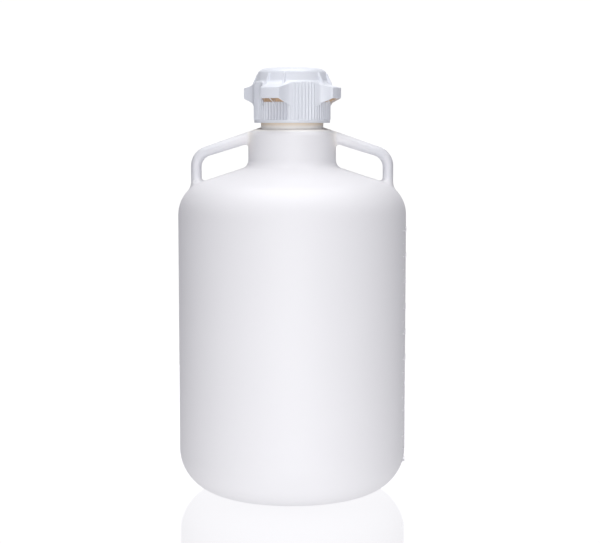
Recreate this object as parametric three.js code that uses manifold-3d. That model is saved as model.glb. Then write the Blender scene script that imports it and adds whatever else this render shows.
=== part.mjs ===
// A round plastic carboy of about 20 litres: a blow-moulded bottle with two handles on its
// shoulder, and a screw closure with four grip lobes that presses a sealing ring onto the
// neck. Millimetres, +Z up, the origin at the centre of the base, the handles along X.

import * as THREE from 'three';
import { mergeVertices } from 'three/addons/utils/BufferGeometryUtils.js';
import ManifoldModule from 'manifold-3d';

// Bottle
const BODY_RADIUS = 143.75;
const WALL = 3.5;
const BASE_ROUND = 54.7;
const BASE_RECESS_RADIUS = 62;
const BASE_RECESS_RISE = 5;
const BASE_RECESS_RUN = 8;
const SHOULDER_EDGE_Z = 383.5; // where the lines of the wall and the shoulder would meet
const SHOULDER_SLOPE = 0.33; // rise of the shoulder towards the axis
const SHOULDER_ROUND = 43.6;
const COLLAR_RADIUS = 55;
const COLLAR_FOOT_ROUND = 11;
const COLLAR_TOP_Z = 459.3;
const COLLAR_ROUND = 9;
const NECK_RADIUS = 39.25;
const NECK_TOP_Z = 509;
const NECK_WALL = 3.5;

// Handles, given by the edges of the side view: distance from the axis, height
const ARM_TOP_Z = 458.6; // the arm's upper edge, carried on to the inner end
const ARM_TOP_SLOPE = 0.353;
const ARM_UNDER_Z = 442.6;
const ARM_UNDER_SLOPE = 0.304;
const ARM_INNER_END = 50;
const LEG_OUTER = 127.4;
const LEG_INNER = 115;
const LEG_FOOT_Z = 376;
const HANDLE_OUTER_ROUND = 25;
const HANDLE_INNER_ROUND = 15;
const HANDLE_WIDTH = 27;
const HANDLE_EDGE = 4;
const HANDLE_EDGE_SEGMENTS = 2;
const ARM_FILLET = 6; // under the arm, against the collar
const ARM_FILLET_RADIUS = 55; // how near to the axis the fillet ends
const ARM_FILLET_DEPTH = 20; // down to where the collar has taken it in

// Thread of the neck and the closure
const THREAD_LEAD = 8;
const THREAD_BEAD_RADIUS = 1.8;
const NECK_BEAD_CENTRE = NECK_RADIUS + 0.35;
const NECK_THREAD_Z = 477;
const NECK_THREAD_TURNS = 3;
const CAP_THREAD_TURNS = 2.5;
const THREAD_BEAD_SEGMENTS = 3;

// Closure, with heights above its rim
const CAP_RIM_Z = 467.2;
const CAP_RIM_RADIUS = 47.6;
const CAP_RIM_BAND = 2.7;
const CAP_RIM_STEP = 0.7; // height of the slope from the rim out to the skirt
const CAP_RIM_CHAMFER = 0.8;
const SKIRT_RADIUS = 48.3;
const SKIRT_TOP = 49.5;
const SKIRT_TOP_ROUND = 2.5;
const CAP_BORE = 42.2;
const CAP_BEAD_CENTRE = CAP_BORE - 0.2;
const CAP_SEAT = 44.9;
const HUB_HOLLOW_RADIUS = 35.5;
const HUB_HOLLOW_TOP = 64.8;
const HUB_HOLLOW_DRAFT = 1;
const HUB_BASE_RADIUS = 45;
const HUB_BASE = 52.7;
const HUB_RADIUS = 43;
const HUB_TOP = 68.3;
const HUB_TOP_ROUND = 6.5;

// Grip lobes of the closure
const LOBE_COUNT = 4;
const FIRST_LOBE_DEGREES = -26;
const LOBE_TIP_RADIUS = 63.2;
const LOBE_TIP_TOP = 43.1;
const LOBE_TIP_BOTTOM = 30.4;
const LOBE_ROOT_BOTTOM = 23;
const LOBE_ROOT_RADIUS = 42.8;
const LOBE_TIP_HALF_WIDTH = 11.6;
const LOBE_WAIST_RADIUS = 52;
const LOBE_WAIST_HALF_WIDTH = 13.5;
const LOBE_ROOT_HALF_WIDTH = 25;
const LOBE_SKIN = 2.4;
const POCKET_INNER_RADIUS = 49.5;
const GUSSET_DEGREES = 14;
const GUSSET_WIDTH = 3.2;
const GUSSET_TOP = 61.5;
const GUSSET_TOP_RADIUS = 44.8;
const GUSSET_FOOT_RADIUS = 54;
const GUSSET_FOOT_RISE = 0.6;
const LOBE_PLAN_SEGMENTS = 4;
const JOIN_OVERLAP = 2; // how far one shape of the closure runs into the next

// Sealing ring
const RING_INNER_RADIUS = 36.3;
const RING_OUTER_RADIUS = 41.8;
const RING_THICKNESS = 2.5;

const CLEARANCE = 0.3; // between pieces that touch
const TURN_SEGMENTS = 48;
const THREAD_STEPS_PER_TURN = 24;
const ARC_STEP = THREE.MathUtils.degToRad(22.5);

const wasm = await ManifoldModule();
wasm.setup();

const PLASTIC = {
  polypropylene: { color: 0xf1f1f3, roughness: 0.42, metalness: 0 },
  closure: { color: 0xe6e9ee, roughness: 0.38, metalness: 0 },
  elastomer: { color: 0xcfcdc8, roughness: 0.7, metalness: 0 },
};

// The solid of a closed geometry, for cutting and joining.
function solidOf(geometry) {
  const bare = geometry.clone();
  bare.deleteAttribute('normal');
  bare.deleteAttribute('uv');
  const merged = mergeVertices(bare);
  const index = merged.getIndex().array;
  const triangles = [];
  for (let i = 0; i < index.length; i += 3) {
    const [a, b, c] = [index[i], index[i + 1], index[i + 2]];
    if (a !== b && b !== c && c !== a) {
      triangles.push(a, b, c);
    }
  }
  const mesh = new wasm.Mesh({
    numProp: 3,
    vertProperties: new Float32Array(merged.getAttribute('position').array),
    triVerts: new Uint32Array(triangles),
  });
  return new wasm.Manifold(mesh);
}

function geometryOf(solid) {
  const mesh = solid.getMesh();
  const geometry = new THREE.BufferGeometry();
  geometry.setAttribute('position', new THREE.BufferAttribute(mesh.vertProperties, 3));
  geometry.setIndex(new THREE.BufferAttribute(mesh.triVerts, 1));
  geometry.computeVertexNormals();
  return geometry;
}

function namedMesh(name, solid, finish) {
  const mesh = new THREE.Mesh(geometryOf(solid), new THREE.MeshStandardMaterial(finish));
  mesh.name = name;
  return mesh;
}

// Points along a polyline whose corners [x, y, radius] are rounded by arcs.
function roundedLine(corners) {
  const points = [];
  corners.forEach(([x, y, radius], i) => {
    const corner = new THREE.Vector2(x, y);
    if (!radius) {
      points.push(corner);
      return;
    }
    const back = new THREE.Vector2(...corners[i - 1]).sub(corner).normalize();
    const ahead = new THREE.Vector2(...corners[i + 1]).sub(corner).normalize();
    const halfAngle = back.angleTo(ahead) / 2;
    const bisector = back.clone().add(ahead).normalize();
    const centre = corner.clone().addScaledVector(bisector, radius / Math.sin(halfAngle));
    const reach = radius / Math.tan(halfAngle);
    const start = corner.clone().addScaledVector(back, reach).sub(centre);
    const sweep = Math.PI - 2 * halfAngle;
    const turn = Math.sign(ahead.cross(back)) * sweep;
    const steps = Math.max(1, Math.round(sweep / ARC_STEP));
    for (let k = 0; k <= steps; k += 1) {
      const spoke = start.clone().rotateAround(new THREE.Vector2(), (turn * k) / steps);
      points.push(centre.clone().add(spoke));
    }
  });
  return points;
}

// A solid of revolution about Z, from an outline of [radius, z, rounding] corners that runs
// from the inside or the axis, round the foot and up the outside.
function turned(corners, closed = false) {
  const points = roundedLine(corners);
  if (closed) {
    points.push(points[0].clone());
  }
  const geometry = new THREE.LatheGeometry(points, TURN_SEGMENTS);
  return solidOf(geometry.rotateX(Math.PI / 2));
}

// A vertical plate through the axis: an outline of [x, z] points, centred on y = 0.
function upright(outline, width, options = {}) {
  const geometry = new THREE.ExtrudeGeometry(new THREE.Shape(outline), {
    depth: width,
    bevelEnabled: false,
    ...options,
  });
  geometry.translate(0, 0, -width / 2);
  return solidOf(geometry.rotateX(Math.PI / 2));
}

// A round bead along a right-hand helix about Z.
class Helix extends THREE.Curve {
  constructor(radius, startZ, turns) {
    super();
    this.radius = radius;
    this.startZ = startZ;
    this.turns = turns;
  }

  getPoint(t, target = new THREE.Vector3()) {
    const angle = 2 * Math.PI * this.turns * t;
    const z = this.startZ + THREAD_LEAD * this.turns * t;
    return target.set(this.radius * Math.cos(angle), this.radius * Math.sin(angle), z);
  }
}

function threadBead(radius, startZ, turns) {
  const section = new THREE.Shape();
  section.absarc(0, 0, THREAD_BEAD_RADIUS, 0, 2 * Math.PI);
  const geometry = new THREE.ExtrudeGeometry(section, {
    extrudePath: new Helix(radius, startZ, turns),
    steps: Math.round(turns * THREAD_STEPS_PER_TURN),
    curveSegments: THREAD_BEAD_SEGMENTS,
  });
  return solidOf(geometry);
}

const shoulderZ = (radius) => SHOULDER_EDGE_Z + (BODY_RADIUS - radius) * SHOULDER_SLOPE;

// The outside of the bottle up to the collar's rounded top edge, moved out by an offset.
function outerCorners(offset) {
  const lift = offset * Math.hypot(1, SHOULDER_SLOPE);
  const body = BODY_RADIUS + offset;
  const collar = COLLAR_RADIUS + offset;
  return [
    [body, -offset, BASE_ROUND + offset],
    [body, shoulderZ(body) + lift, SHOULDER_ROUND + offset],
    [collar, shoulderZ(collar) + lift, COLLAR_FOOT_ROUND - offset],
    [collar, COLLAR_TOP_Z + offset, COLLAR_ROUND + offset],
  ];
}

// The base's shallow recess, from the axis out to the flat foot ring.
function recessCorners(lift) {
  return [
    [0, BASE_RECESS_RISE + lift, 0],
    [BASE_RECESS_RADIUS - BASE_RECESS_RUN, BASE_RECESS_RISE + lift, 0],
    [BASE_RECESS_RADIUS, lift, 0],
  ];
}

function bottleShell() {
  const neckBore = NECK_RADIUS - NECK_WALL;
  const shell = turned([
    ...recessCorners(0),
    ...outerCorners(0),
    [NECK_RADIUS, COLLAR_TOP_Z, 0],
    [NECK_RADIUS, NECK_TOP_Z, 0],
    [neckBore, NECK_TOP_Z, 0],
    [neckBore, COLLAR_TOP_Z - WALL, 0],
    ...outerCorners(-WALL).reverse(),
    ...recessCorners(WALL).reverse(),
  ]);
  return shell.add(threadBead(NECK_BEAD_CENTRE, NECK_THREAD_Z, NECK_THREAD_TURNS));
}

// A hooked grip: an arm that falls away from the collar, with a fillet under it there, and a
// leg down to the shoulder. Its ends stop just short of the bottle that they are moulded to.
// The outline is drawn in from the finished faces by the rounding of the long edges.
function handle() {
  const inset = HANDLE_EDGE;
  const topZ = ARM_TOP_Z - inset * Math.hypot(1, ARM_TOP_SLOPE);
  const underZ = ARM_UNDER_Z + inset * Math.hypot(1, ARM_UNDER_SLOPE);
  const armTop = (x) => topZ - (x - ARM_INNER_END) * ARM_TOP_SLOPE;
  const armUnder = (x) => underZ - (x - ARM_INNER_END) * ARM_UNDER_SLOPE;
  const outer = LEG_OUTER - inset;
  const inner = LEG_INNER + inset;
  const fillet = ARM_FILLET_RADIUS - inset;
  const filletFootZ = armUnder(fillet) - ARM_FILLET_DEPTH;
  const outline = roundedLine([
    [ARM_INNER_END, filletFootZ, 0],
    [fillet, filletFootZ, 0],
    [fillet, armUnder(fillet), ARM_FILLET + inset],
    [inner, armUnder(inner), HANDLE_INNER_ROUND + inset],
    [inner, LEG_FOOT_Z, 0],
    [outer, LEG_FOOT_Z, 0],
    [outer, armTop(outer), HANDLE_OUTER_ROUND - inset],
    [ARM_INNER_END, topZ, 0],
  ]);
  const bar = upright(outline, HANDLE_WIDTH - 2 * inset, {
    bevelEnabled: true,
    bevelThickness: inset,
    bevelSize: inset,
    bevelSegments: HANDLE_EDGE_SEGMENTS,
  });
  const bottle = turned([
    [0, -CLEARANCE, 0],
    ...outerCorners(CLEARANCE),
    [0, COLLAR_TOP_Z + CLEARANCE, 0],
  ]);
  return bar.subtract(bottle);
}

// The closure without its lobes: ribbed skirt, hub and the bore for the neck.
function closureCore() {
  const core = turned([
    [0, HUB_HOLLOW_TOP, 0],
    [HUB_HOLLOW_RADIUS, HUB_HOLLOW_TOP, 0],
    [HUB_HOLLOW_RADIUS + HUB_HOLLOW_DRAFT, CAP_SEAT, 0],
    [CAP_BORE, CAP_SEAT, 0],
    [CAP_BORE, CAP_RIM_CHAMFER, 0],
    [CAP_BORE + CAP_RIM_CHAMFER, 0, 0],
    [CAP_RIM_RADIUS, 0, 0],
    [CAP_RIM_RADIUS, CAP_RIM_BAND, 0],
    [SKIRT_RADIUS, CAP_RIM_BAND + CAP_RIM_STEP, 0],
    [SKIRT_RADIUS, SKIRT_TOP, SKIRT_TOP_ROUND],
    [HUB_BASE_RADIUS, HUB_BASE, 0],
    [HUB_RADIUS, HUB_TOP, HUB_TOP_ROUND],
    [0, HUB_TOP, 0],
  ]);
  const startZ = NECK_THREAD_Z - CAP_RIM_Z - THREAD_LEAD / 2;
  return core.add(threadBead(CAP_BEAD_CENTRE, startZ, CAP_THREAD_TURNS));
}

const deckZ = (radius) => {
  const slope = (HUB_BASE - LOBE_TIP_TOP) / (LOBE_TIP_RADIUS - HUB_BASE_RADIUS);
  return LOBE_TIP_TOP + (LOBE_TIP_RADIUS - radius) * slope;
};

// The ring that the lobes are cut from: a sloping deck, an upright tip, a rising underside.
function lobeBand(skin) {
  const tip = LOBE_TIP_RADIUS - skin;
  const bottom = skin ? 0 : LOBE_ROOT_BOTTOM;
  const inner = skin ? POCKET_INNER_RADIUS : LOBE_ROOT_RADIUS;
  return turned(
    [
      [inner, bottom, 0],
      [skin ? tip : SKIRT_RADIUS, bottom, 0],
      [tip, LOBE_TIP_BOTTOM, 0],
      [tip, deckZ(tip) - skin, 0],
      [inner, deckZ(inner) - skin, 0],
    ],
    true,
  );
}

// A lobe's plan, along +X, drawn in by the skin's thickness for its pockets.
function lobePlan(skin) {
  const tip = LOBE_TIP_HALF_WIDTH - skin;
  const waist = LOBE_WAIST_HALF_WIDTH - skin;
  const root = LOBE_ROOT_HALF_WIDTH - skin;
  const plan = new THREE.Shape();
  plan.moveTo(LOBE_ROOT_RADIUS, -root);
  plan.quadraticCurveTo(LOBE_WAIST_RADIUS, -waist, LOBE_TIP_RADIUS, -tip);
  plan.lineTo(LOBE_TIP_RADIUS + JOIN_OVERLAP, -tip);
  plan.lineTo(LOBE_TIP_RADIUS + JOIN_OVERLAP, tip);
  plan.lineTo(LOBE_TIP_RADIUS, tip);
  plan.quadraticCurveTo(LOBE_WAIST_RADIUS, waist, LOBE_ROOT_RADIUS, root);
  return plan;
}

function extrudedUp(plan, height) {
  const geometry = new THREE.ExtrudeGeometry(plan, {
    depth: height,
    bevelEnabled: false,
    curveSegments: LOBE_PLAN_SEGMENTS,
  });
  return solidOf(geometry);
}

// Two fins run from the hub down to the deck on each side of a lobe's middle.
function gusset(side) {
  const inner = HUB_RADIUS - JOIN_OVERLAP;
  const footZ = deckZ(GUSSET_FOOT_RADIUS);
  const outline = [
    [inner, deckZ(inner) - JOIN_OVERLAP],
    [GUSSET_FOOT_RADIUS, footZ - JOIN_OVERLAP],
    [GUSSET_FOOT_RADIUS, footZ + GUSSET_FOOT_RISE],
    [GUSSET_TOP_RADIUS, GUSSET_TOP],
    [inner, GUSSET_TOP],
  ].map(([x, z]) => new THREE.Vector2(x, z));
  return upright(outline, GUSSET_WIDTH).rotate([0, 0, side * GUSSET_DEGREES]);
}

function screwCap() {
  const solidLobe = extrudedUp(lobePlan(0), HUB_TOP).intersect(lobeBand(0));
  const webEnd = LOBE_TIP_RADIUS - LOBE_SKIN / 2;
  const web = upright(
    [
      [LOBE_ROOT_RADIUS, LOBE_ROOT_BOTTOM],
      [webEnd, LOBE_TIP_BOTTOM],
      [webEnd, LOBE_TIP_TOP],
      [LOBE_ROOT_RADIUS, LOBE_TIP_TOP],
    ].map(([x, z]) => new THREE.Vector2(x, z)),
    LOBE_SKIN,
  );
  const pocket = extrudedUp(lobePlan(LOBE_SKIN), HUB_TOP).intersect(lobeBand(LOBE_SKIN));
  const lobe = solidLobe.subtract(pocket.subtract(web)).add(gusset(1)).add(gusset(-1));
  let cap = closureCore();
  for (let i = 0; i < LOBE_COUNT; i += 1) {
    const degrees = FIRST_LOBE_DEGREES + (360 / LOBE_COUNT) * i;
    cap = cap.add(lobe.rotate([0, 0, degrees]));
  }
  return cap;
}

function sealingRing() {
  return turned(
    [
      [RING_INNER_RADIUS, 0, 0],
      [RING_OUTER_RADIUS, 0, 0],
      [RING_OUTER_RADIUS, RING_THICKNESS, 0],
      [RING_INNER_RADIUS, RING_THICKNESS, 0],
    ],
    true,
  );
}

const carboy = new THREE.Group();
carboy.add(namedMesh('bottle_shell', bottleShell(), PLASTIC.polypropylene));

const rightHandle = namedMesh('handle_right', handle(), PLASTIC.polypropylene);
carboy.add(rightHandle);

const leftHandle = namedMesh('handle_left', handle(), PLASTIC.polypropylene);
leftHandle.rotation.z = Math.PI;
carboy.add(leftHandle);

const cap = namedMesh('screw_cap', screwCap(), PLASTIC.closure);
cap.position.z = CAP_RIM_Z;
carboy.add(cap);

const ring = namedMesh('cap_gasket', sealingRing(), PLASTIC.elastomer);
ring.position.z = NECK_TOP_Z + CLEARANCE;
carboy.add(ring);

export default carboy;
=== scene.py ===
"""The looks of a round plastic carboy: a blow-moulded bottle with two handles on its shoulder,
and a screw closure with four grip lobes. Metres, +Z up, the front towards -Y."""

import math

import bmesh
import bpy
import numpy as np
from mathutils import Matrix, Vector


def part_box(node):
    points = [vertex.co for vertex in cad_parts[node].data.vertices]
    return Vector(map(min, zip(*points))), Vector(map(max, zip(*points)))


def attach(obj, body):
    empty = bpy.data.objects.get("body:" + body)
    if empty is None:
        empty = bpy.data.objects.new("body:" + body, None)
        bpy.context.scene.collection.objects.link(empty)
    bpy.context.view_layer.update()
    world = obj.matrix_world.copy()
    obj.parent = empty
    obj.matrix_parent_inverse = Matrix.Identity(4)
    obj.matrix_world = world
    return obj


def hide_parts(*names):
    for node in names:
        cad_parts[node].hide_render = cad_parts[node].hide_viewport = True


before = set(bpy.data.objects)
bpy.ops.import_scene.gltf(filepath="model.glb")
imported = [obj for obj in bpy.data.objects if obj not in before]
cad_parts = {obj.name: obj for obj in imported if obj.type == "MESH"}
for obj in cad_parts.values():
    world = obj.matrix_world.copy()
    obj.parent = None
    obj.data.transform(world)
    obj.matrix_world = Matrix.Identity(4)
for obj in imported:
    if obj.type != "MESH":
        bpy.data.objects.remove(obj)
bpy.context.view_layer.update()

_, shell_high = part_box("bottle_shell")
grip_low, grip_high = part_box("handle_right")
cap_low, cap_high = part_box("screw_cap")
ring_low, ring_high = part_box("cap_gasket")

# Bottle
BODY_RADIUS = shell_high.x
NECK_TOP_Z = shell_high.z
WALL = 0.0035
BASE_ROUND = 0.0547
RECESS_RADIUS = 0.062
RECESS_RISE = 0.005
RECESS_RUN = 0.008
SHOULDER_EDGE_Z = 0.3835
SHOULDER_SLOPE = 0.33
SHOULDER_ROUND = 0.0436
COLLAR_RADIUS = 0.055
COLLAR_FOOT_ROUND = 0.011
COLLAR_TOP_Z = 0.4593
COLLAR_ROUND = 0.009
NECK_RADIUS = 0.03925
NECK_WALL = 0.0035
NECK_FOOT_ROUND = 0.0006
COLLAR_DISH = 0.0005
BOTTLE_COLUMNS = 256
LIP_ROUND = 0.0008
SEAM_HALF_WIDTH = math.radians(0.22)
SEAM_HEIGHT = 0.0003

# Handles: edges of the side view, as distance from the axis and height
LEG_OUTER = grip_high.x
LEG_INNER = LEG_OUTER - 0.0131
ARM_INNER_END = 0.050
ARM_TOP_Z = 0.4586
ARM_TOP_SLOPE = 0.353
ARM_UNDER_Z = 0.4426
ARM_UNDER_SLOPE = 0.304
HANDLE_OUTER_ROUND = 0.025
HANDLE_INNER_ROUND = 0.015
HANDLE_WIDTH = grip_high.y - grip_low.y
HANDLE_START_X = 0.070
HANDLE_END_Z = 0.405
HANDLE_RING_POINTS = 48
HANDLE_ROUNDNESS = 2.5
HANDLE_TO_BOTTLE = 0.05

# Fillets between the handles and the bottle: how far they spread, how much less upwards, and
# how their thin rim and their hidden end lie in the bottle's skin
COLLAR_FILLET = 0.007
SHOULDER_FILLET = 0.0085
FILLET_UPWARD_LOSS = 0.6
FILLET_STEPS = 7
FILLET_RIM_REACH = 0.0008
FILLET_RIM_DEPTH = 0.00015
FILLET_END_DEPTH = 0.0012

# Thread
THREAD_LEAD = 0.008
THREAD_HEIGHT = 0.0021
THREAD_FOOT = 0.0044
THREAD_CREST = 0.0014
NECK_THREAD_Z = 0.477
NECK_THREAD_TURNS = 3.0
CAP_THREAD_TURNS = 2.5
THREAD_RUN_IN = 0.12
THREAD_ROW = 0.0005

# Closure, with heights above its rim
CAP_RIM_Z = cap_low.z
HUB_TOP = cap_high.z - cap_low.z
HUB_RADIUS = 0.043
HUB_ROUND = 0.0065
HUB_CROWN_REACH = 0.011
HUB_CROWN_POWER = 1.7
HUB_BASE_RADIUS = 0.045
DIMPLE_RADIUS = 0.002
DIMPLE_DEPTH = 0.0004
RIM_RADIUS = 0.0477
RIM_BAND = 0.0038
SKIRT_RADIUS = 0.0483
RIBS = 72
RIB_DEPTH = 0.0013
RIB_SHARPNESS = 1.5
RIB_SHARE_UNDER_LOBE = 1.2
RIB_SHARE_LOST_BESIDE = 0.7
RIB_SHARE_REGAINED_BETWEEN = 0.25
RIB_SHARE_ON_FACE = 0.75
CAP_BORE = 0.0422
CAP_SEAT = 0.0449
HUB_HOLLOW_RADIUS = 0.0355
HUB_HOLLOW_TOP = 0.0648
LOBES = 4
FIRST_LOBE = math.radians(-26)
LOBE_TIP_RADIUS = 0.0632
LOBE_TIP_TOP = 0.0436
LOBE_TIP_BOTTOM = 0.0306
LOBE_ROOT_BOTTOM = 0.0236
LOBE_ROOT_FILLET = 0.0026
ROOT_FILLET_RADIUS = 0.0518
ROOT_FILLET_RUN = 0.0035
LOBE_TIP_HALF_ANGLE = math.radians(11.6)
LOBE_FLANK_ANGLE = math.radians(19)
LOBE_FLANK_POWER = 3.3
LOBE_CORNER_BLEND = 0.0012
LOBE_EDGE_ROUND = 0.0012
LOBE_LOWER_LIP = 0.0007
LOBE_SKIN = 0.0011
WEB_THICKNESS = 0.0012
WEB_MIDDLE_RADIUS = 0.056
WEB_STEPS = np.array([1, 1.03, 1.08])
POCKET_INNER_RADIUS = 0.0467
POCKET_FOOT = 0.0257
UNDERSIDE_END = 0.0195
DECK_TIP_SLOPE = 0.2
DECK_HUB_RISE = 0.0053
DECK_HUB_REACH = 0.0042
DECK_START = HUB_BASE_RADIUS + 0.0004
SKIRT_EDGE_REACH = 0.002
SKIRT_EDGE_DROP = 0.0035
FIN_ANGLE = math.radians(14.1)
FIN_WIDTH = 0.003
FIN_TOP = 0.0615
FIN_TOP_RADIUS = 0.0448
FIN_FOOT_RADIUS = 0.0515

# Degrees from a lobe's middle where the ribs change, and over how many they do
LOBE_SIDE = (17, 4)
BETWEEN_LOBES = (27, 4)
FACE_RIBS = (24, 7)
# Where the painted shade in the ribs' valleys under a lobe ends
VALLEY_SHADE_END = (21, 4)

# Shares of the way along the lobes' underside at which the mesh's rows pass the pocket's foot
POCKET_ROWS_END = 0.63
FOOT_ROWS = (0.79, 0.92, 1)

# Graduations on the wall, towards the right of the front
FIRST_LITRE = 2
LAST_LITRE = 20
LITRE = 0.001
MARK_START = math.radians(-15.5)
SHORT_MARK = math.radians(2.6)
LONG_MARK = math.radians(4.2)
MARK_HEIGHT = 0.0007
MARK_WIDTH = 0.0013
MARK_SINK = 0.0004
NUMERAL_SINK = 0.0002
NUMERAL_START = math.radians(-10.4)
NUMERAL_SIZE = 0.0105

# The ring's rounded edge
RING_EDGE = 0.0005

# Where the bottle's painted light and shade lie. The painted warm shade on the neck and the
# painted light on the rim fade downwards, the painted light that softens the creases lies on
# the collar beside the handles, and the painted shade on the handles grows outwards.
NECK_SHADE_FADE = 0.006
RIM_LIGHT_DEPTH = 0.0035
RIM_LIGHT_FADE = 0.0025
CREASE_HALF_DEPTH = 0.0035
CREASE_DEPTH_FADE = 0.003
CREASE_HALF_WIDTH = 0.036
CREASE_WIDTH_FADE = 0.02
CREASE_FOOT_Z = 0.420
CREASE_FOOT_FADE = 0.015
HANDLE_SHADE_GAP = 0.002
HANDLE_SHADE_FADE = 0.008
ARM_SHADE_FADE = 0.055

# Colours at values of the surface's painted light and shade: -1 painted shade on the handles
# or in the ribs' valleys, 0 the plain surface, 0.5 painted light on the bottle's rim and in
# its creases, 1 painted warm shade on the neck under the closure or inside the lobes' pockets
BOTTLE_TONES = (
    (-1, (0.76, 0.765, 0.80)),
    (0, (0.86, 0.855, 0.875)),
    (0.5, (0.98, 0.955, 0.925)),
    (1, (0.86, 0.735, 0.59)),
)
CLOSURE_TONES = (
    (-1, (0.60, 0.62, 0.68)),
    (0, (0.775, 0.80, 0.855)),
    (1, (0.62, 0.45, 0.31)),
)
RING_TONES = ((0, (0.55, 0.54, 0.52)),)

# Surfaces: roughness, and the scale and depth of the grain
BOTTLE_SURFACE = (0.55, 900, 0.00002)
CLOSURE_SURFACE = (0.38, 1400, 0.00002)
RING_SURFACE = (0.65, 2500, 0.00003)
PLASTIC_IOR = 1.49
CLOUD_SCALE = 9
CLOUD_SHADE = (0.985, 1.01)
CLOUD_DULLER = 0.05
CLOUD_GLOSSIER = 0.04

# Light: place, target, width and power of the soft boxes; then the way to each of the two
# bright patches of the wall behind, its inner and outer angle in degrees, colour and strength
FRONT_BOX = ((0, -1.6, 0.3), (0, 0, 0.3), 0.6, 11.4)
TOP_BOX = ((0, -0.1, 1.7), (0, 0, 0.3), 1.2, 16.2)
BACK_LIGHT = ((0, 1, 0.1), 32, 44, (1, 1, 1), 0.45)
BACK_GLOW = ((0, 1, 0.2), 16, 22, (1, 1, 1), 0.45)
SIDE_LIGHT = (0.241, 0.238, 0.262)
WHITE_ROOM = (1.05, 1.05, 1.05, 1)
FLOOR_RADIUS = 1.0
FLOOR_CORNERS = 64
FLOOR_ROUGHNESS = 0.08
FLOOR_COLOUR = (0.98, 0.975, 1, 1)
FLOOR_GLOW = 0.78

# Camera
CAMERA_PLACE = (0.0099, -1.8688, 0.4669)
CAMERA_PITCH = math.radians(-5.73)
CAMERA_LENS = 88.7


def rounded(corners, step=math.radians(6)):
    """Points along a polyline whose corners (x, y, radius) are rounded by arcs."""
    points = []
    for i, (x, y, radius) in enumerate(corners):
        corner = np.array([x, y])
        if not radius:
            points.append(corner)
            continue
        back = np.array(corners[i - 1][:2]) - corner
        ahead = np.array(corners[i + 1][:2]) - corner
        back /= np.linalg.norm(back)
        ahead /= np.linalg.norm(ahead)
        half = math.acos(np.clip(back @ ahead, -1, 1)) / 2
        middle = (back + ahead) / np.linalg.norm(back + ahead)
        centre = corner + middle * radius / math.sin(half)
        spoke = corner + back * radius / math.tan(half) - centre
        sweep = math.pi - 2 * half
        turn = math.copysign(sweep, ahead[0] * back[1] - ahead[1] * back[0])
        steps = max(1, round(sweep / step))
        for k in range(steps + 1):
            angle = turn * k / steps
            cosine, sine = math.cos(angle), math.sin(angle)
            x_part = spoke[0] * cosine - spoke[1] * sine
            y_part = spoke[0] * sine + spoke[1] * cosine
            points.append(centre + (x_part, y_part))
    return np.array(points)


def smooth_step(t):
    t = np.clip(t, 0, 1)
    return t * t * (3 - 2 * t)


def smooth_minimum(a, b, blend):
    share = np.clip(0.5 + (b - a) / (2 * blend), 0, 1)
    return b + (a - b) * share - blend * share * (1 - share)


def store_warmth(mesh, painted_light):
    """Keeps at each vertex its painted light and shade, a value from -1 to 1 that picks its
    colour from the tones.
    """
    attribute = mesh.attributes.new("painted_light", "FLOAT", "POINT")
    attribute.data.foreach_set("value", np.asarray(painted_light, dtype=np.float32))


def finished_mesh(name, vertices, faces, painted_light=None, sharp_angle=math.radians(35)):
    """A clean, outward-facing, smooth-shaded mesh object."""
    mesh = bpy.data.meshes.new(name)
    mesh.from_pydata([tuple(v) for v in vertices], [], faces)
    if painted_light is not None:
        store_warmth(mesh, painted_light)
    work = bmesh.new()
    work.from_mesh(mesh)
    bmesh.ops.remove_doubles(work, verts=work.verts, dist=1e-6)
    bmesh.ops.dissolve_degenerate(work, edges=work.edges, dist=1e-7)
    bmesh.ops.recalc_face_normals(work, faces=work.faces)
    work.to_mesh(mesh)
    work.free()
    mesh.shade_smooth()
    mesh.set_sharp_from_angle(angle=sharp_angle)
    piece = bpy.data.objects.new(name, mesh)
    bpy.context.scene.collection.objects.link(piece)
    return piece


def grid_faces(rows, columns, wrap_rows=False):
    """Quads of a grid whose columns wrap round, and whose rows may."""
    faces = []
    last = rows if wrap_rows else rows - 1
    for i in range(last):
        below = i * columns
        above = ((i + 1) % rows) * columns
        for j in range(columns):
            k = (j + 1) % columns
            faces.append((below + j, below + k, above + k, above + j))
    return faces


def capped_faces(rows, columns):
    """Quads of a grid whose columns wrap round, with its first and last rows closed."""
    faces = grid_faces(rows, columns)
    faces.append(tuple(range(columns)))
    faces.append(tuple(range((rows - 1) * columns, rows * columns)))
    return faces


def polar_points(radii, heights, angles):
    """Points in space from radius and height, each an array of rows by columns."""
    x = radii * np.cos(angles)
    y = radii * np.sin(angles)
    z = np.broadcast_to(heights, x.shape)
    return np.stack([x, y, z], axis=-1).reshape(-1, 3)


def thread_height(angles, heights, start_z, turns):
    """How far a right-hand thread stands out at each angle and height."""
    turn = np.mod(angles, 2 * math.pi) / (2 * math.pi)
    along = (heights - start_z) / THREAD_LEAD
    whole = np.round(along - turn)
    position = turn + whole
    offset = np.abs(along - position) * THREAD_LEAD
    slope = (THREAD_FOOT - THREAD_CREST) / 2
    section = smooth_step((THREAD_FOOT / 2 - offset) / slope)
    run = np.clip(np.minimum(position, turns - position) / THREAD_RUN_IN, 0, 1)
    return THREAD_HEIGHT * section * run


def shoulder_z(radius):
    return SHOULDER_EDGE_Z + (BODY_RADIUS - radius) * SHOULDER_SLOPE


def outer_corners(offset):
    """The outside of the bottle from the foot to the collar's top, moved out by an offset."""
    lift = offset * math.hypot(1, SHOULDER_SLOPE)
    body = BODY_RADIUS + offset
    collar = COLLAR_RADIUS + offset
    return [
        (body, -offset, BASE_ROUND + offset),
        (body, shoulder_z(body) + lift, SHOULDER_ROUND + offset),
        (collar, shoulder_z(collar) + lift, COLLAR_FOOT_ROUND - offset),
        (collar, COLLAR_TOP_Z + offset, COLLAR_ROUND + offset),
    ]


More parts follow.
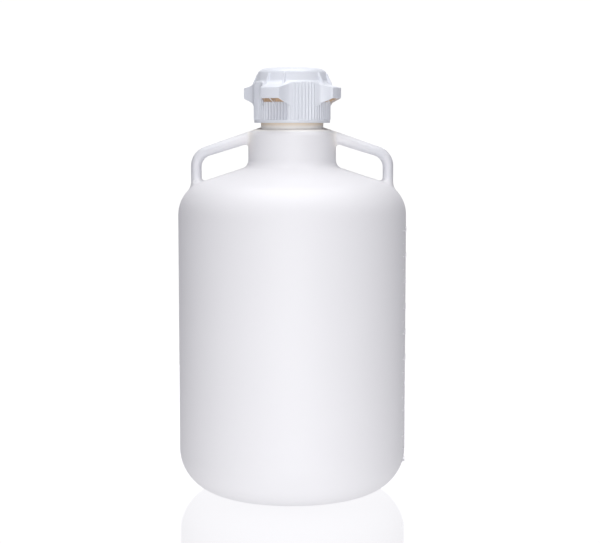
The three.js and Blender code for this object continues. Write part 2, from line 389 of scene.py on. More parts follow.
def recess_corners(lift):
    return [
        (0, RECESS_RISE + lift, 0),
        (RECESS_RADIUS - RECESS_RUN, RECESS_RISE + lift, 0.006),
        (RECESS_RADIUS, lift, 0.006),
    ]


def bottle_body():
    """The revolved bottle, open at the mouth, with its thread and mould seam."""
    bore = NECK_RADIUS - NECK_WALL
    outside = rounded(
        [
            *recess_corners(0),
            *outer_corners(0),
            (NECK_RADIUS, COLLAR_TOP_Z - COLLAR_DISH, NECK_FOOT_ROUND),
            (NECK_RADIUS, NECK_TOP_Z, 0),
        ]
    )
    foot_z = outside[-2][1]
    neck_rows = np.arange(foot_z + THREAD_ROW, NECK_TOP_Z - 0.0012, THREAD_ROW)
    neck = np.column_stack([np.full(len(neck_rows), NECK_RADIUS), neck_rows])
    inside = rounded(
        [
            (NECK_RADIUS, neck_rows[-1], 0),
            (NECK_RADIUS, NECK_TOP_Z, LIP_ROUND),
            (bore, NECK_TOP_Z, LIP_ROUND),
            (bore, COLLAR_TOP_Z - WALL, 0.003),
            *reversed(outer_corners(-WALL)),
            *reversed(recess_corners(WALL)),
        ]
    )
    outline = np.vstack([outside[1:-1], neck, inside[1:-1]])
    seam_steps = np.array([-1, -0.5, 0, 0.5, 1]) * SEAM_HALF_WIDTH
    plain = np.arange(BOTTLE_COLUMNS) * 2 * math.pi / BOTTLE_COLUMNS
    plain = plain[np.abs(np.sin(plain)) > math.sin(2 * SEAM_HALF_WIDTH)]
    angles = np.sort(np.concatenate([plain, seam_steps, seam_steps + math.pi]))
    radii = np.repeat(outline[:, :1], len(angles), axis=1)
    heights = outline[:, 1:]
    seam = np.clip(1 - np.abs(np.sin(angles)) / math.sin(SEAM_HALF_WIDTH), 0, 1)
    outer_rows = len(outside) - 2
    on_wall = radii[:outer_rows] > COLLAR_RADIUS * 0.9
    radii[:outer_rows] += SEAM_HEIGHT * seam * on_wall
    threaded = slice(outer_rows, outer_rows + len(neck))
    radii[threaded] += thread_height(
        angles, heights[threaded], NECK_THREAD_Z, NECK_THREAD_TURNS
    )
    points = polar_points(radii, heights, angles)
    rows, columns = radii.shape
    faces = grid_faces(rows, columns)
    under, floor = len(points), len(points) + 1
    poles = [(0, 0, RECESS_RISE), (0, 0, RECESS_RISE + WALL)]
    for j in range(columns):
        k = (j + 1) % columns
        faces.append((under, k, j))
        last = (rows - 1) * columns
        faces.append((floor, last + j, last + k))
    return finished_mesh("carboy_bottle", np.vstack([points, poles]), faces)


class BottleOutside:
    """The revolved outside of the bottle, for laying the handles' fillets on it."""

    def __init__(self):
        foot, top = (RECESS_RADIUS, 0, 0), (NECK_RADIUS, COLLAR_TOP_Z, 0)
        line = rounded([foot, *outer_corners(0), top], math.radians(0.5))
        spans = np.linalg.norm(np.diff(line, axis=0), axis=1)
        along = np.concatenate([[0], np.cumsum(spans)])
        fine = np.linspace(0, along[-1], 6000)
        self.line = np.column_stack(
            [np.interp(fine, along, line[:, 0]), np.interp(fine, along, line[:, 1])]
        )
        tangent = np.gradient(self.line, axis=0)
        tangent /= np.linalg.norm(tangent, axis=1)[:, None]
        self.normals = np.column_stack([tangent[:, 1], -tangent[:, 0]])

    def nearest(self, point):
        """The nearest point of the outside, and the way out of it there."""
        radius = math.hypot(point[0], point[1])
        gaps = np.hypot(self.line[:, 0] - radius, self.line[:, 1] - point[2])
        best = int(np.argmin(gaps))
        way = np.array([point[0], point[1]]) / radius
        on_line, normal = self.line[best], self.normals[best]
        place = np.array([*(way * on_line[0]), on_line[1]])
        return place, np.array([*(way * normal[0]), normal[1]])

    def hit(self, start, direction, reach):
        """Where a line from outside meets the bottle."""
        low, high = 0.0, reach
        for _ in range(40):
            middle = (low + high) / 2
            point = start + direction * middle
            place, normal = self.nearest(point)
            if (point - place) @ normal > 0:
                low = middle
            else:
                high = middle
        return start + direction * high


def handle_stations():
    """Pairs of inner and outer edge points of a handle in the XZ plane, from the arm's inner
    end, round the corner and down the leg."""

    def arm_top(x):
        return ARM_TOP_Z - (x - ARM_INNER_END) * ARM_TOP_SLOPE

    def arm_under(x):
        return ARM_UNDER_Z - (x - ARM_INNER_END) * ARM_UNDER_SLOPE

    step = math.radians(6)
    outer = rounded(
        [
            (HANDLE_START_X, arm_top(HANDLE_START_X), 0),
            (LEG_OUTER, arm_top(LEG_OUTER), HANDLE_OUTER_ROUND),
            (LEG_OUTER, HANDLE_END_Z, 0),
        ],
        step,
    )
    inner = rounded(
        [
            (HANDLE_START_X, arm_under(HANDLE_START_X), 0),
            (LEG_INNER, arm_under(LEG_INNER), HANDLE_INNER_ROUND),
            (LEG_INNER, HANDLE_END_Z, 0),
        ],
        step,
    )
    count = 15
    return resampled(inner, count), resampled(outer, count)


def resampled(line, count):
    """The rounded corner keeps its share of the points, so that both edges pair up."""
    straight_in = [line[0] + (line[1] - line[0]) * t for t in np.linspace(0, 1, 7)[:-1]]
    straight_out = [line[-2] + (line[-1] - line[-2]) * t for t in np.linspace(0, 1, 5)]
    bend = line[1:-1]
    along = np.linspace(0, len(bend) - 1, count)
    index = np.arange(len(bend))
    curve = np.column_stack(
        [np.interp(along, index, bend[:, 0]), np.interp(along, index, bend[:, 1])]
    )
    return np.vstack([straight_in, curve[:-1], straight_out])


def handle_ring(inner, outer):
    """A rounded section between two edge points, as wide as the handle."""
    middle, half = (inner + outer) / 2, (outer - inner) / 2
    power = 2 / HANDLE_ROUNDNESS
    points = []
    for k in range(HANDLE_RING_POINTS):
        angle = 2 * math.pi * k / HANDLE_RING_POINTS
        across = math.copysign(abs(math.cos(angle)) ** power, math.cos(angle))
        aside = math.copysign(abs(math.sin(angle)) ** power, math.sin(angle))
        x, z = middle + half * across
        points.append((x, HANDLE_WIDTH / 2 * aside, z))
    return np.array(points)


def fillet_rings(ring, direction, outside, size):
    """Rings that carry a handle's end on to the bottle and spread out over its surface."""
    hits = np.array([outside.hit(p, direction, HANDLE_TO_BOTTLE) for p in ring])
    middle = hits.mean(axis=0)
    rings = [[] for _ in range(FILLET_STEPS + 2)]
    for start, hit in zip(ring, hits):
        _, normal = outside.nearest(hit)
        away = hit - middle
        away -= normal * (away @ normal)
        away /= np.linalg.norm(away)
        reach = size * (1 - FILLET_UPWARD_LOSS * max(0.0, away[2]))
        leave = hit - direction * reach
        land, land_normal = outside.nearest(hit + away * reach)
        for k in range(FILLET_STEPS):
            t = k / (FILLET_STEPS - 1)
            curve = leave * (1 - t) ** 2 + hit * 2 * t * (1 - t) + land * t**2
            rings[k].append(curve)
        rings[-2].append(land - land_normal * FILLET_RIM_DEPTH + away * FILLET_RIM_REACH)
        rings[-1].append(hit - normal * FILLET_END_DEPTH)
    return [np.array(r) for r in rings]


def handle_mesh(name, side, outside):
    """One handle, as a closed shell whose ends spread on to the bottle."""
    inner, outer = handle_stations()
    rings = [handle_ring(a, b) for a, b in zip(inner, outer)]
    arm_way = np.array([inner[0] - inner[1], outer[0] - outer[1]]).mean(axis=0)
    arm_way /= np.linalg.norm(arm_way)
    into_collar = np.array([arm_way[0], 0, arm_way[1]])
    down = np.array([0, 0, -1.0])
    collar_end = fillet_rings(rings[0], into_collar, outside, COLLAR_FILLET)
    leg_end = fillet_rings(rings[-1], down, outside, SHOULDER_FILLET)
    rings = collar_end[::-1] + rings + leg_end
    points = np.vstack(rings) * (side, side, 1)
    return finished_mesh(name, points, capped_faces(len(rings), len(rings[0])))


def litre_height(litres):
    """Height of the liquid's surface, from the room inside the bottle below it."""
    bore = BODY_RADIUS - WALL
    foot = (bore, WALL, BASE_ROUND - WALL)
    line = rounded([(RECESS_RADIUS, WALL, 0), foot, (bore, SHOULDER_EDGE_Z, 0)])
    heights = np.linspace(WALL, SHOULDER_EDGE_Z - SHOULDER_ROUND, 400)
    radii = np.interp(heights, line[:, 1], line[:, 0])
    slices = math.pi * radii**2 * (heights[1] - heights[0])
    volume = np.cumsum(slices)
    return float(np.interp(litres * LITRE, volume, heights))


def wall_mark(z, start, sweep):
    """A raised bar on the wall with a rounded face."""
    half = MARK_WIDTH / 2
    section = rounded(
        [
            (BODY_RADIUS - MARK_SINK, z - half, 0),
            (BODY_RADIUS + MARK_HEIGHT, z - half, MARK_HEIGHT * 0.6),
            (BODY_RADIUS + MARK_HEIGHT, z + half, MARK_HEIGHT * 0.6),
            (BODY_RADIUS - MARK_SINK, z + half, 0),
        ],
        math.radians(30),
    )
    rings = []
    for angle in np.linspace(start, start + sweep, 10):
        x = section[:, 0] * math.cos(angle)
        y = section[:, 0] * math.sin(angle)
        rings.append(np.column_stack([x, y, section[:, 1]]))
    faces = capped_faces(len(rings), len(section))
    return finished_mesh("mark", np.vstack(rings), faces)


def wall_numeral(text, z, start):
    """Raised digits wrapped on to the wall, standing upright beside their mark."""
    curve = bpy.data.curves.new("numeral", "FONT")
    curve.body = text
    curve.size = NUMERAL_SIZE
    curve.align_y = "CENTER"
    curve.extrude = MARK_HEIGHT / 2 + NUMERAL_SINK
    curve.resolution_u = 4
    flat = bpy.data.objects.new("numeral", curve)
    bpy.context.scene.collection.objects.link(flat)
    bpy.context.view_layer.update()
    graph = bpy.context.evaluated_depsgraph_get()
    mesh = bpy.data.meshes.new_from_object(flat.evaluated_get(graph))
    bpy.data.objects.remove(flat)
    points = []
    for vertex in mesh.vertices:
        x, y, out = vertex.co
        angle = start + x / BODY_RADIUS
        radius = BODY_RADIUS + MARK_HEIGHT / 2 - NUMERAL_SINK + out
        points.append((radius * math.cos(angle), radius * math.sin(angle), z + y))
    faces = [tuple(p.vertices) for p in mesh.polygons]
    return finished_mesh("numeral", points, faces)


def graduations():
    """A raised scale of litres up the wall, with generic numbers at the even ones."""
    pieces = []
    for litres in range(FIRST_LITRE, LAST_LITRE + 1):
        z = litre_height(litres)
        even = litres % 2 == 0
        pieces.append(wall_mark(z, MARK_START, LONG_MARK if even else SHORT_MARK))
        if even:
            pieces.append(wall_numeral(str(litres), z, NUMERAL_START))
    return pieces


def pinch_line():
    """The ridge that the closing mould leaves across the base's recess."""
    length, width, height, sink = 0.094, 0.0016, 0.0008, 0.0005
    section = rounded(
        [
            (-width / 2, RECESS_RISE + sink, 0),
            (-width / 2, RECESS_RISE - height, width * 0.4),
            (width / 2, RECESS_RISE - height, width * 0.4),
            (width / 2, RECESS_RISE + sink, 0),
        ],
        math.radians(30),
    )
    rings = []
    for x in np.linspace(-length / 2, length / 2, 12):
        rings.append(np.column_stack([np.full(len(section), x), section]))
    faces = capped_faces(len(rings), len(section))
    return finished_mesh("pinch", np.vstack(rings), faces)


def joined(target, others):
    """The other pieces' meshes, made part of the target."""
    with bpy.context.temp_override(
        active_object=target, selected_editable_objects=[target, *others]
    ):
        bpy.ops.object.join()
    return target


def lobe_outline(away):
    """The closure's outer radius at an angle away from a lobe's middle."""
    along = (np.abs(away) - LOBE_TIP_HALF_ANGLE) / LOBE_FLANK_ANGLE
    reach = LOBE_TIP_RADIUS - SKIRT_RADIUS
    flank = SKIRT_RADIUS + reach * np.clip(1 - along, 0, 2) ** LOBE_FLANK_POWER
    tip = np.full_like(flank, LOBE_TIP_RADIUS)
    return np.maximum(smooth_minimum(tip, flank, LOBE_CORNER_BLEND), SKIRT_RADIUS)


def deck_height(radius):
    near_hub = np.exp(-(radius - HUB_BASE_RADIUS) / DECK_HUB_REACH)
    slope = DECK_TIP_SLOPE * (LOBE_TIP_RADIUS - radius)
    return LOBE_TIP_TOP + slope + DECK_HUB_RISE * near_hub


def underside_height(radius):
    """The lobes' lower edge, which rises outwards and dips in a fillet at the skirt."""
    slope = (LOBE_TIP_BOTTOM - LOBE_ROOT_BOTTOM) / (LOBE_TIP_RADIUS - SKIRT_RADIUS)
    near_skirt = smooth_step((ROOT_FILLET_RADIUS - radius) / ROOT_FILLET_RUN)
    fillet = LOBE_ROOT_FILLET * near_skirt**2
    return LOBE_ROOT_BOTTOM + slope * (radius - SKIRT_RADIUS) - fillet


def pocket_outline(away):
    """Radius of the pocket's outer wall: the lobe's outline drawn in by its skin."""
    sweep = np.radians(np.linspace(-45, 45, 721))
    edge = lobe_outline(sweep)
    edge_x, edge_y = edge * np.cos(sweep), edge * np.sin(sweep)
    radii = np.linspace(SKIRT_RADIUS, LOBE_TIP_RADIUS, 240)
    walls = []
    for angle, limit in zip(away, lobe_outline(away)):
        x = radii * math.cos(angle)
        y = radii * math.sin(angle)
        gaps = np.hypot(x[:, None] - edge_x, y[:, None] - edge_y).min(axis=1)
        free = (radii < limit) & (gaps >= LOBE_SKIN)
        walls.append(radii[free].max() if free.any() else SKIRT_RADIUS)
    return np.array(walls)


def closure_columns():
    """Angles round one lobe, finer than the ribs, with the web's faces marked out."""
    per_rib = 8
    quarter = math.pi / LOBES
    plain = np.linspace(-quarter, quarter, RIBS // LOBES * per_rib + 1)[:-1]
    web = WEB_THICKNESS / 2 / WEB_MIDDLE_RADIUS
    extra = web * np.concatenate([-WEB_STEPS[::-1], WEB_STEPS])
    gaps = np.abs(plain[:, None] - extra).min(axis=1)
    return np.sort(np.concatenate([plain[gaps > math.radians(0.2)], extra])), web


class Profile:
    """Rows of radius, height and painted light and shade for the closure's outside, one column
    per angle.
    """

    def __init__(self, away):
        self.away = np.abs(away)
        self.rows = []
        self.edge = lobe_outline(away)
        self.lobe = smooth_step((self.edge - SKIRT_RADIUS) / 0.004)
        self.wave = (0.5 + 0.5 * np.cos(away * RIBS)) ** RIB_SHARPNESS - 1
        deck_end = self.edge - LOBE_EDGE_ROUND - SKIRT_EDGE_REACH * (1 - self.lobe)
        self.deck_end = np.maximum(deck_end, DECK_START + 0.0002)
        self.fin_foot = np.minimum(FIN_FOOT_RADIUS, self.deck_end)
        fin_gap = np.abs(self.away - FIN_ANGLE) * HUB_BASE_RADIUS
        self.fin = smooth_step((FIN_WIDTH / 2 + 0.0004 - fin_gap) / 0.0011)

    def add(self, radius, height, painted_light=0.0):
        shape = self.away.shape
        values = (radius, height, painted_light)
        self.rows.append([np.broadcast_to(v, shape) for v in values])

    def past(self, start, run):
        """How far each angle has passed a start, in degrees from the lobe's middle."""
        return smooth_step((np.degrees(self.away) - start) / run)

    def rib(self, low):
        """Depth of the ribs' valleys, low down on the skirt or up on the lobes' face. Low down
        they are deepest under a lobe, and on the face they are only between lobes."""
        if low:
            share = RIB_SHARE_UNDER_LOBE - RIB_SHARE_LOST_BESIDE * self.past(*LOBE_SIDE)
            share = share + RIB_SHARE_REGAINED_BETWEEN * self.past(*BETWEEN_LOBES)
        else:
            share = RIB_SHARE_ON_FACE * self.past(*FACE_RIBS)
        return RIB_DEPTH * share * self.wave

    def add_with_fin(self, radius, height, share):
        """A row that climbs on to the fins, at a share of the way down their slope."""
        on_fin = self.fin * (share <= 1)
        foot_z = deck_height(self.fin_foot)
        fin_radius = FIN_TOP_RADIUS + (self.fin_foot - FIN_TOP_RADIUS) * share
        fin_z = FIN_TOP + (foot_z - FIN_TOP) * share
        self.add(radius + (fin_radius - radius) * on_fin, height + (fin_z - height) * on_fin)

    def add_hub(self):
        crown_start = HUB_RADIUS - HUB_CROWN_REACH
        for radius in (0.0008, 0.0016, 0.0024, 0.02, crown_start):
            dimple = DIMPLE_DEPTH if radius < DIMPLE_RADIUS else 0
            self.add(radius, HUB_TOP - dimple)
        side_top = HUB_TOP - HUB_ROUND
        for k in range(1, 9):
            angle = math.radians(90 * k / 8)
            out = math.sin(angle) ** (2 / HUB_CROWN_POWER)
            up = max(math.cos(angle), 0.0) ** (2 / HUB_CROWN_POWER)
            self.add(crown_start + HUB_CROWN_REACH * out, side_top + HUB_ROUND * up)
        side_foot = deck_height(np.array(HUB_BASE_RADIUS + 0.0006)) + 0.0012
        steps = 11
        for k in range(1, steps + 1):
            t = k / steps
            height = side_top + (side_foot - side_top) * t
            radius = HUB_RADIUS + (HUB_BASE_RADIUS - HUB_RADIUS) * t
            self.add_with_fin(radius, height, 0.4 * t)

    def add_deck(self):
        """The deck from the hub outwards, and the rounded edge above the lobes' face."""
        for t in np.linspace(0, 1, 10):
            radius = DECK_START + (self.deck_end - DECK_START) * t
            share = 0.42 + 0.58 * (radius - DECK_START) / (self.fin_foot - DECK_START)
            self.add_with_fin(radius, deck_height(radius), share)
        start = math.radians(20)
        out_reach = self.edge - self.deck_end
        down_reach = LOBE_EDGE_ROUND + SKIRT_EDGE_DROP * (1 - self.lobe)
        for k in range(1, 7):
            angle = start + (math.pi / 2 - start) * k / 6
            out = (math.sin(angle) - math.sin(start)) / (1 - math.sin(start))
            down = (math.cos(start) - math.cos(angle)) / math.cos(start)
            radius = self.deck_end + out_reach * out + self.rib(False) * out**2
            self.add(radius, deck_height(self.deck_end) - down_reach * down)

    def add_face(self):
        """The lobes' outer face down to its rounded lower edge."""
        top = self.rows[-1][1]
        foot = underside_height(self.edge)
        edge = self.edge + self.rib(False)
        low_lip = np.minimum(LOBE_LOWER_LIP, 0.4 * (self.edge - SKIRT_RADIUS))
        for t in np.linspace(0, 1, 10)[1:]:
            self.add(edge, top + (foot + low_lip + 0.0001 - top) * t)
        for k in range(1, 4):
            angle = math.radians(90 * k / 3)
            radius = edge - low_lip * (1 - math.cos(angle))
            self.add(radius, foot + low_lip * (1 - math.sin(angle)))

    def pocket_path(self, wall, skirt):
        """Up the pocket's outer wall, along its ceiling and down to the top of the ribs."""
        lip_z = underside_height(wall)
        ceiling = deck_height(wall) - LOBE_SKIN
        inner = POCKET_INNER_RADIUS
        inner_top = deck_height(np.array(inner)) - LOBE_SKIN - 0.0005
        path = [(wall + 0.0002, lip_z, 0)]
        # Painted warm shade inside the pocket: half at its lip, full on its walls and ceiling
        for t, painted_light in ((0.05, 0.5), (0.35, 1), (0.7, 1), (0.96, 1)):
            path.append((wall, lip_z + (ceiling - lip_z) * t, painted_light))
        for t in (0.04, 0.3, 0.6, 0.9):
            radius = wall + (inner - wall) * t
            path.append((radius, deck_height(radius) - LOBE_SKIN, 1))
        for t in np.linspace(0, 1, 5):
            path.append((inner, inner_top + (POCKET_FOOT + 0.0004 - inner_top) * t, 1))
        # Painted shade in the ribs' valleys at the pocket's foot
        for height in (POCKET_FOOT, POCKET_FOOT - 0.0008, UNDERSIDE_END):
            path.append((skirt, height, self.valley_tone()))
        return path

    def solid_path(self, skirt, count):
        """Along the lobes' underside to the skirt and down it, as many rows as the pocket's.

        The last rows lie beside the pocket's foot, so that the web's sides don't fold.
        """
        start, start_z, _ = self.rows[-1]
        shares = np.linspace(0, 1, 40)[:, None]
        radius = start + (skirt - start) * shares
        height = underside_height(radius)
        height[0] = start_z
        radius = np.vstack([radius, skirt])
        height = np.vstack([height, np.full_like(skirt, UNDERSIDE_END)])
        steps = np.hypot(np.diff(radius, axis=0), np.diff(height, axis=0))
        along = np.vstack([np.zeros_like(skirt), np.cumsum(steps, axis=0)])
        path = []
        outer_rows = count - len(FOOT_ROWS)
        stops = np.append(np.linspace(0, POCKET_ROWS_END, outer_rows + 1)[1:], FOOT_ROWS)
        for share in stops:
            row = []
            for values in (radius, height):
                columns = zip(along.T, values.T)
                row.append(np.array([np.interp(share * a[-1], a, v) for a, v in columns]))
            path.append(row)
        return path

    def valley_tone(self):
        """Painted shade, below zero, in the ribs' valleys under a lobe."""
        end, run = VALLEY_SHADE_END
        under_lobe = smooth_step((end - np.degrees(self.away)) / run)
        return under_lobe * np.clip(0.1 + self.wave, -1, 0)

    def add_underside(self, wall, is_open, on_web_side):
        skirt = SKIRT_RADIUS + self.rib(True)
        pocket = self.pocket_path(wall, skirt)
        solid = self.solid_path(skirt, len(pocket))
        for hollow, filled in zip(pocket, solid):
            radius = np.where(is_open, hollow[0], filled[0])
            height = np.where(is_open, hollow[1], filled[1])
            # The web's sides inside the pocket get the same painted warm shade
            web_shade = on_web_side * (filled[1] > POCKET_FOOT)
            self.add(radius, height, np.where(is_open, hollow[2], web_shade))

    def add_skirt(self):
        skirt = SKIRT_RADIUS + self.rib(True)
        top, foot = UNDERSIDE_END, RIM_BAND + 0.0004
        # Painted shade in the ribs' valleys under a lobe
        for t in np.linspace(0, 1, 8)[1:]:
            self.add(skirt, top + (foot - top) * t, self.valley_tone())
        self.add(RIM_RADIUS + 0.0001, RIM_BAND)
        self.add(RIM_RADIUS, RIM_BAND - 0.0003)
        self.add(RIM_RADIUS, 0.0006)
        self.add(RIM_RADIUS - 0.0002, 0.0002)
        self.add(RIM_RADIUS - 0.0006, 0.0)
        self.add(CAP_BORE + 0.0012, 0.0)
        self.add(CAP_BORE + 0.0003, 0.0009)


def closure_rows():
    """The closure's outside over one lobe's share of the turn, and the columns' angles."""
    away, web = closure_columns()
    profile = Profile(away)
    profile.add_hub()
    profile.add_deck()
    profile.add_face()
    wall = pocket_outline(away)
    turn = np.abs(away)
    is_open = (wall > SKIRT_RADIUS + 0.0004) & (turn > web * 1.05)
    on_web_side = (turn > web * 1.01) & (turn < web * 1.05)
    profile.add_underside(wall, is_open, on_web_side)
    profile.add_skirt()
    return away, np.array(profile.rows)


def closure_mesh():
    """The closure as one closed skin: hub, deck, hollow lobes, ribbed skirt and bore."""
    away, outside = closure_rows()
    radii, heights, painted_light = np.tile(outside, LOBES).transpose(1, 0, 2)
    turns = np.arange(LOBES) * 2 * math.pi / LOBES + FIRST_LOBE
    angles = (turns[:, None] + away).ravel()
    bore_z = np.arange(0.0014, CAP_SEAT - 0.0006, THREAD_ROW)
    start_z = NECK_THREAD_Z - CAP_RIM_Z - THREAD_LEAD / 2
    thread = thread_height(angles, bore_z[:, None], start_z, CAP_THREAD_TURNS)
    bore_radii = CAP_BORE - thread
    bore_heights = np.broadcast_to(bore_z[:, None], bore_radii.shape)
    seat = rounded(
        [
            (CAP_BORE, bore_z[-1], 0),
            (CAP_BORE, CAP_SEAT, 0.0005),
            (HUB_HOLLOW_RADIUS + 0.001, CAP_SEAT, 0.0008),
            (HUB_HOLLOW_RADIUS, HUB_HOLLOW_TOP, 0.003),
            (0.001, HUB_HOLLOW_TOP, 0),
        ],
        math.radians(20),
    )[1:]
    seat_radii = np.repeat(seat[:, :1], len(angles), axis=1)
    seat_heights = np.repeat(seat[:, 1:], len(angles), axis=1)
    radii = np.vstack([radii, bore_radii, seat_radii])
    heights = np.vstack([heights, bore_heights, seat_heights]) + CAP_RIM_Z
    points = polar_points(radii, heights, angles)
    # The painted light and shade of the outside; none on the bore and the seat
    painted_light = np.concatenate([painted_light.ravel(), np.zeros(len(points) - painted_light.size)])
    return finished_mesh("screw_closure", points, capped_faces(*radii.shape), painted_light)


def ring_bore():
    """The ring's inner radius, from its own CAD solid."""
    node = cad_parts["cap_gasket"]
    return min(math.hypot(v.co.x, v.co.y) for v in node.data.vertices)


def sealing_ring():
    """The flat ring between the neck and the closure, with softly rounded edges."""
    inner, outer = ring_bore(), ring_high.x
    low, high = ring_low.z, ring_high.z
    loop = [
        (inner, high, 0),
        (inner, low, RING_EDGE),
        (outer, low, RING_EDGE),
        (outer, high, RING_EDGE),
        (inner, high, RING_EDGE),
        (inner, low, 0),
    ]
    section = rounded(loop, math.radians(30))[1:-1]
    angles = np.arange(128) * 2 * math.pi / 128
    radii = np.repeat(section[:, :1], len(angles), axis=1)
    points = polar_points(radii, section[:, 1:], angles)
    faces = grid_faces(len(section), len(angles), wrap_rows=True)
    return finished_mesh("sealing_ring", points, faces)


def tone_ramp(tree, tones):
    """A colour output that turns the mesh's painted light and shade into the tones' colours.
    """
    nodes, links = tree.nodes, tree.links
    painted_light = nodes.new("ShaderNodeAttribute")
    painted_light.attribute_name = "painted_light"
    share = nodes.new("ShaderNodeMapRange")
    share.inputs["From Min"].default_value = -1
    links.new(painted_light.outputs["Fac"], share.inputs["Value"])
    ramp = nodes.new("ShaderNodeValToRGB")
    stops = ramp.color_ramp.elements
    stops.remove(stops[1])
    (first, first_colour), *others = tones
    stops[0].position = (first + 1) / 2
    stops[0].color = (*first_colour, 1)
    for value, colour in others:
        stops.new((value + 1) / 2).color = (*colour, 1)
    links.new(share.outputs["Result"], ramp.inputs["Fac"])
    return ramp.outputs["Color"]


def noise(tree, place, scale, detail):
    node = tree.nodes.new("ShaderNodeTexNoise")
    node.inputs["Scale"].default_value = scale
    node.inputs["Detail"].default_value = detail
    tree.links.new(place.outputs["Object"], node.inputs["Vector"])
    return node.outputs["Fac"]


def spread(tree, source, low, high):
    """A source from 0 to 1, carried over to values from low to high."""
    node = tree.nodes.new("ShaderNodeMapRange")
    node.inputs["To Min"].default_value = low
    node.inputs["To Max"].default_value = high
    tree.links.new(source, node.inputs["Value"])
    return node.outputs["Result"]


def plastic(name, tones, roughness, grain, grain_depth):
    """Moulded plastic: a satin surface with fine grain, faint clouds and uneven gloss. Its
    tones are colours at values of the mesh's painted light and shade, from -1 to 1."""
    material = bpy.data.materials.new(name)
    material.use_nodes = True
    tree = material.node_tree
    nodes, links = tree.nodes, tree.links
    shader = nodes["Principled BSDF"]
    shader.inputs["IOR"].default_value = PLASTIC_IOR
    place = nodes.new("ShaderNodeTexCoord")
    cloud = noise(tree, place, CLOUD_SCALE, 3)
    shade = nodes.new("ShaderNodeMix")
    shade.data_type = "RGBA"
    shade.blend_type = "MULTIPLY"
    shade.inputs["Factor"].default_value = 1
    links.new(tone_ramp(tree, tones), shade.inputs["A"])
    links.new(spread(tree, cloud, *CLOUD_SHADE), shade.inputs["B"])
    links.new(shade.outputs["Result"], shader.inputs["Base Color"])
    gloss = spread(tree, cloud, roughness - CLOUD_GLOSSIER, roughness + CLOUD_DULLER)
    links.new(gloss, shader.inputs["Roughness"])
    bump = nodes.new("ShaderNodeBump")
    bump.inputs["Strength"].default_value = 1
    bump.inputs["Distance"].default_value = grain_depth
    links.new(noise(tree, place, grain, 2), bump.inputs["Height"])
    links.new(bump.outputs["Normal"], shader.inputs["Normal"])
    return material


def finish_piece(piece, material, body, slot, *nodes):
    piece.data.materials.clear()
    piece.data.materials.append(material)
    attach(piece, body)
    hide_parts(*nodes)


def bottle_warmth(places):
    """Painted warm shade on the neck, painted light on the collar's rim and in its creases,
    painted shade on the handles.
    """
    x, y, z = places.T
    radius = np.hypot(x, y)
    # Painted warm shade on the neck under the closure, fading downwards
    near_closure = smooth_step((z - CAP_RIM_Z + NECK_SHADE_FADE) / NECK_SHADE_FADE)
    # Painted light on the collar's rim and the neck's foot, which lie in shade
    on_rim = smooth_step((z - COLLAR_TOP_Z + RIM_LIGHT_DEPTH) / RIM_LIGHT_FADE)
    neck = (0.5 * near_closure + 0.5 * on_rim) * (radius < COLLAR_RADIUS)
    # Painted shade on the handles, darker outwards along the arms and up off the shoulder
    off_shoulder = (z - shoulder_z(radius) - HANDLE_SHADE_GAP) / HANDLE_SHADE_FADE
    along_arm = (radius - COLLAR_RADIUS) / ARM_SHADE_FADE
    handle_shade = smooth_step(np.minimum(off_shoulder, along_arm))
    # Painted light, a little warm, that softens the shade in the collar's creases beside the
    # handles
    off_collar = np.abs(radius - COLLAR_RADIUS)
    on_collar = smooth_step((CREASE_HALF_DEPTH - off_collar) / CREASE_DEPTH_FADE)
    by_arm = smooth_step((CREASE_HALF_WIDTH - np.abs(y)) / CREASE_WIDTH_FADE)
    high_up = smooth_step((z - CREASE_FOOT_Z) / CREASE_FOOT_FADE)
    crease_light = 0.5 * on_collar * by_arm * high_up
    return np.maximum(neck, crease_light) - handle_shade


def build_bottle():
    bottle = bottle_body()
    outside = BottleOutside()
    handles = [
        handle_mesh("grip_right", 1, outside),
        handle_mesh("grip_left", -1, outside),
    ]
    joined(bottle, [*handles, *graduations(), pinch_line()])
    places = np.array([v.co for v in bottle.data.vertices])
    # Painted light and shade on the bottle's neck, rim, creases and handles
    store_warmth(bottle.data, bottle_warmth(places))
    material = plastic("bottle_plastic", BOTTLE_TONES, *BOTTLE_SURFACE)
    nodes = ("bottle_shell", "handle_left", "handle_right")
    finish_piece(bottle, material, "bottle", "bottle_plastic", *nodes)


def build_closure():
    closure = closure_mesh()
    material = plastic("closure_plastic", CLOSURE_TONES, *CLOSURE_SURFACE)
    finish_piece(closure, material, "closure", "closure_plastic", "screw_cap")


def build_ring():
    ring = sealing_ring()
    store_warmth(ring.data, np.zeros(len(ring.data.vertices)))
    material = plastic("ring_elastomer", RING_TONES, *RING_SURFACE)
    finish_piece(ring, material, "seal", "sealing_ring", "cap_gasket")


def soft_source(tree, way, inner, outer, colour, strength):
    """Light from a soft-edged round patch of the surround, as a colour output."""
    nodes, links = tree.nodes, tree.links
    place = nodes.new("ShaderNodeTexCoord")
    dot = nodes.new("ShaderNodeVectorMath")
    dot.operation = "DOT_PRODUCT"
    dot.inputs[1].default_value = Vector(way).normalized()
    links.new(place.outputs["Generated"], dot.inputs[0])
    edge = nodes.new("ShaderNodeMapRange")
    edge.interpolation_type = "SMOOTHSTEP"
    edge.inputs["From Min"].default_value = math.cos(math.radians(outer))
    edge.inputs["From Max"].default_value = math.cos(math.radians(inner))
    edge.inputs["To Max"].default_value = strength
    links.new(dot.outputs["Value"], edge.inputs["Value"])
    tint = nodes.new("ShaderNodeVectorMath")
    tint.operation = "SCALE"
    tint.inputs[0].default_value = colour
    links.new(edge.outputs["Result"], tint.inputs["Scale"])
    return tint.outputs["Vector"]


def soft_box(name, place, target, width, power):
    """A square soft box that shines at a target."""
    data = bpy.data.lights.new(name, "AREA")
    data.size = width
    data.energy = power
    light = bpy.data.objects.new(name, data)
    light.location = place
    way = Vector(target) - Vector(place)
    light.rotation_euler = way.to_track_quat("-Z", "Y").to_euler()
    bpy.context.scene.collection.objects.link(light)


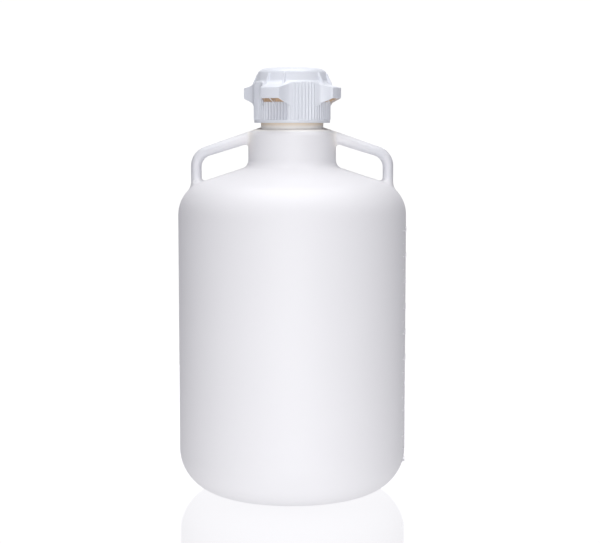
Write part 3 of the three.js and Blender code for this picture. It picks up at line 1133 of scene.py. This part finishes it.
def build_surround():
    """A white room to look at. What lights the bottle, besides the soft boxes, is an even
    grey room with two brighter patches, one inside the other, on the wall behind."""
    soft_box("front_box", *FRONT_BOX)
    soft_box("top_box", *TOP_BOX)
    world = bpy.data.worlds.new("surround")
    world.use_nodes = True
    bpy.context.scene.world = world
    tree = world.node_tree
    nodes, links = tree.nodes, tree.links
    patches = nodes.new("ShaderNodeVectorMath")
    links.new(soft_source(tree, *BACK_LIGHT), patches.inputs[0])
    links.new(soft_source(tree, *BACK_GLOW), patches.inputs[1])
    total = nodes.new("ShaderNodeVectorMath")
    links.new(patches.outputs["Vector"], total.inputs[0])
    total.inputs[1].default_value = SIDE_LIGHT
    seen = nodes.new("ShaderNodeLightPath")
    mix = nodes.new("ShaderNodeMix")
    mix.data_type = "RGBA"
    links.new(seen.outputs["Is Camera Ray"], mix.inputs["Factor"])
    links.new(total.outputs["Vector"], mix.inputs["A"])
    mix.inputs["B"].default_value = WHITE_ROOM
    background = nodes["Background"]
    links.new(mix.outputs["Result"], background.inputs["Color"])


def build_floor():
    """A glowing white table with a polished top."""
    mesh = bpy.data.meshes.new("floor")
    points = [(0, 0, 0)]
    for k in range(FLOOR_CORNERS):
        angle = 2 * math.pi * k / FLOOR_CORNERS
        points.append((FLOOR_RADIUS * math.cos(angle), FLOOR_RADIUS * math.sin(angle), 0))
    faces = [(0, 1 + k, 1 + (k + 1) % FLOOR_CORNERS) for k in range(FLOOR_CORNERS)]
    mesh.from_pydata(points, [], faces)
    floor = bpy.data.objects.new("floor", mesh)
    bpy.context.scene.collection.objects.link(floor)
    material = bpy.data.materials.new("floor")
    material.use_nodes = True
    shader = material.node_tree.nodes["Principled BSDF"]
    shader.inputs["Base Color"].default_value = (0, 0, 0, 1)
    shader.inputs["Roughness"].default_value = FLOOR_ROUGHNESS
    shader.inputs["Emission Color"].default_value = FLOOR_COLOUR
    shader.inputs["Emission Strength"].default_value = FLOOR_GLOW
    mesh.materials.append(material)


def build_camera():
    data = bpy.data.cameras.new("camera")
    data.lens = CAMERA_LENS
    data.sensor_width = 36
    camera = bpy.data.objects.new("camera", data)
    camera.location = CAMERA_PLACE
    camera.rotation_euler = (math.pi / 2 + CAMERA_PITCH, 0, 0)
    bpy.context.scene.collection.objects.link(camera)
    bpy.context.scene.camera = camera


build_bottle()
build_closure()
build_ring()
build_surround()
build_floor()
build_camera()
bpy.context.scene.view_settings.view_transform = "Standard"
